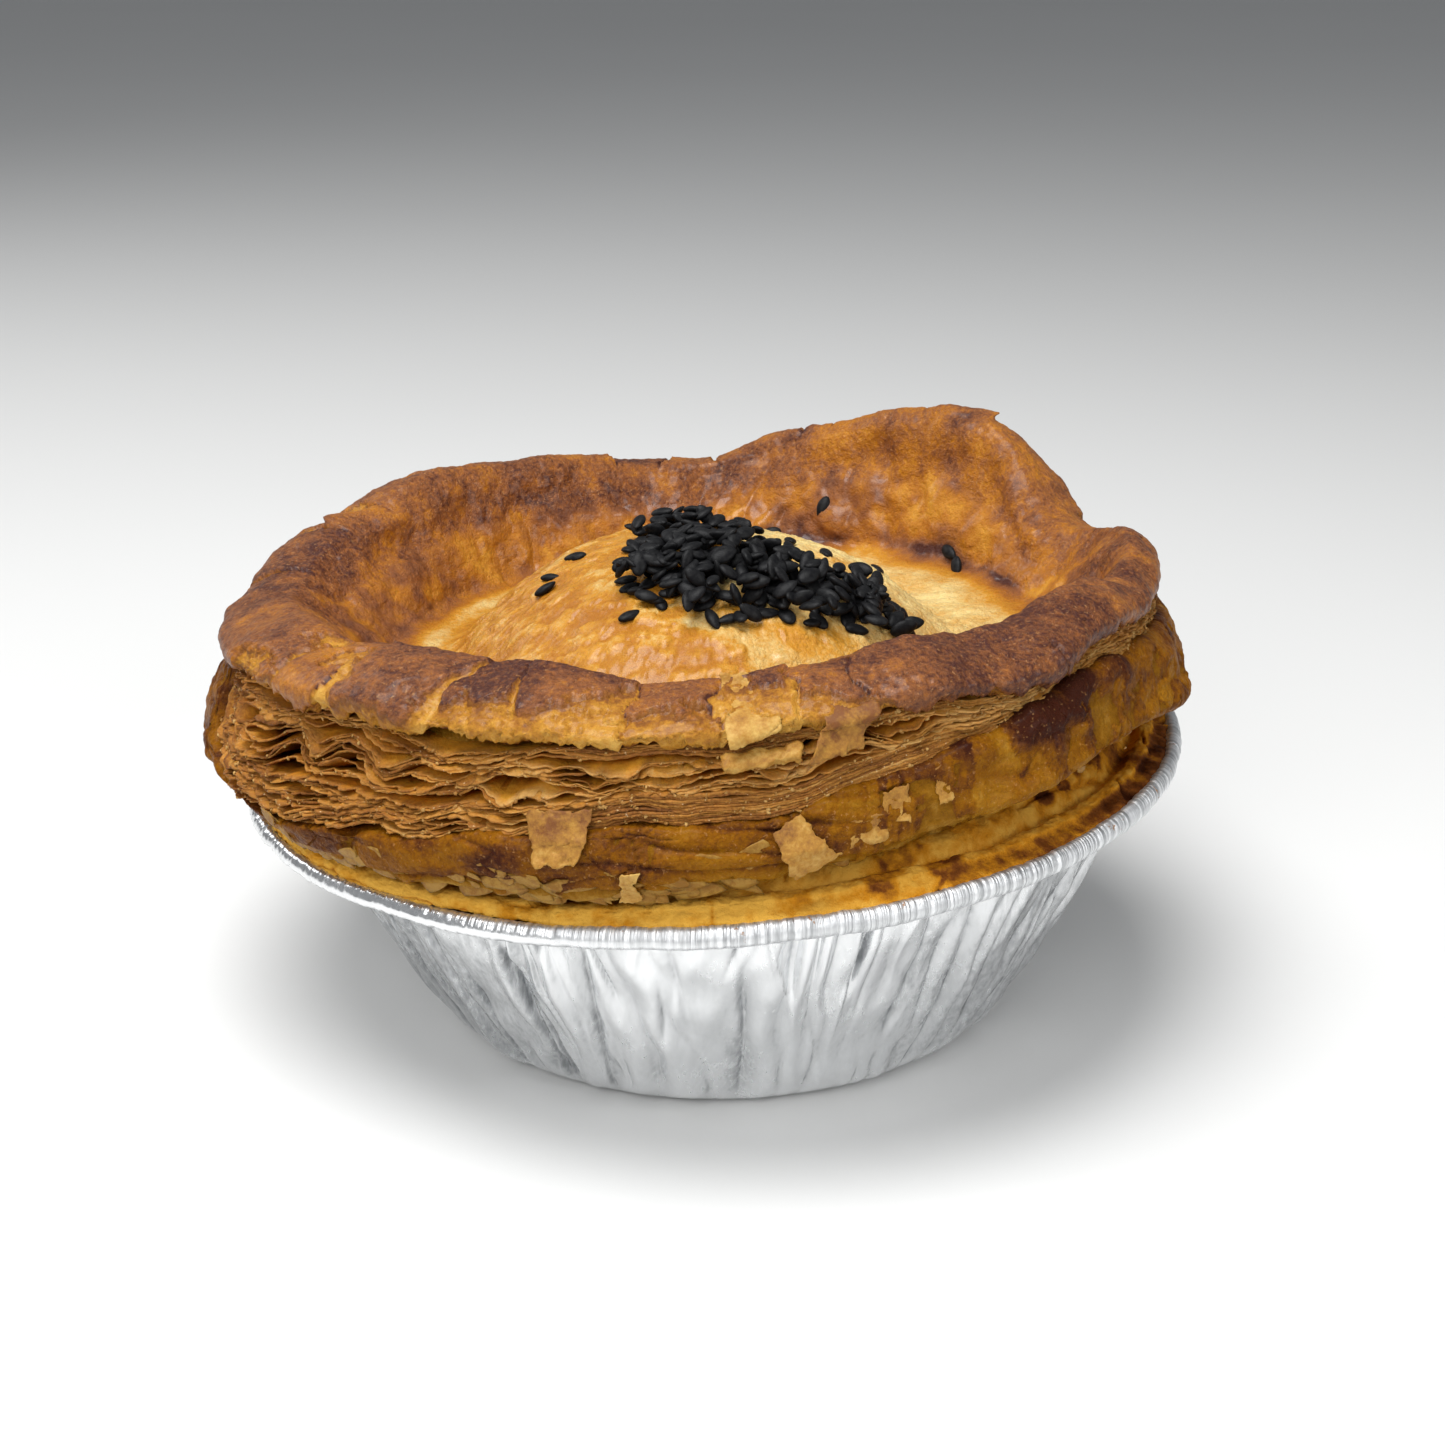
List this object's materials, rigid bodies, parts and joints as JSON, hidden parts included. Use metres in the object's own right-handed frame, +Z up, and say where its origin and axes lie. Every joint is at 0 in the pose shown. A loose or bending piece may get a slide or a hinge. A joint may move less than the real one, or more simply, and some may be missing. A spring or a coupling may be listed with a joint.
{
  "type": "cauliflower cheese pie",
  "caption": "Small pie with a tall, flaky puff pastry lid, a thick folded rim and a domed middle strewn with black sesame seeds, in a pleated foil tin.",
  "frame": {"origin": "middle of the tin's floor, on its underside", "axes": "+Z up, +X to the pie's right along its widest direction, -Y to its front"},
  "size_m": [0.1258, 0.12, 0.0674],
  "materials": {
    "foil": "bright, crumpled foil",
    "short_pastry": "baked short pastry, pale gold and crumbly",
    "puff_pastry": "glazed puff pastry, golden to deep brown, with black sesame seeds on the middle"
  },
  "bodies": {
    "root": {"foil_tin": "foil", "pastry_base": "short_pastry", "puff_lid": "puff_pastry"}
  },
  "joints": []
}
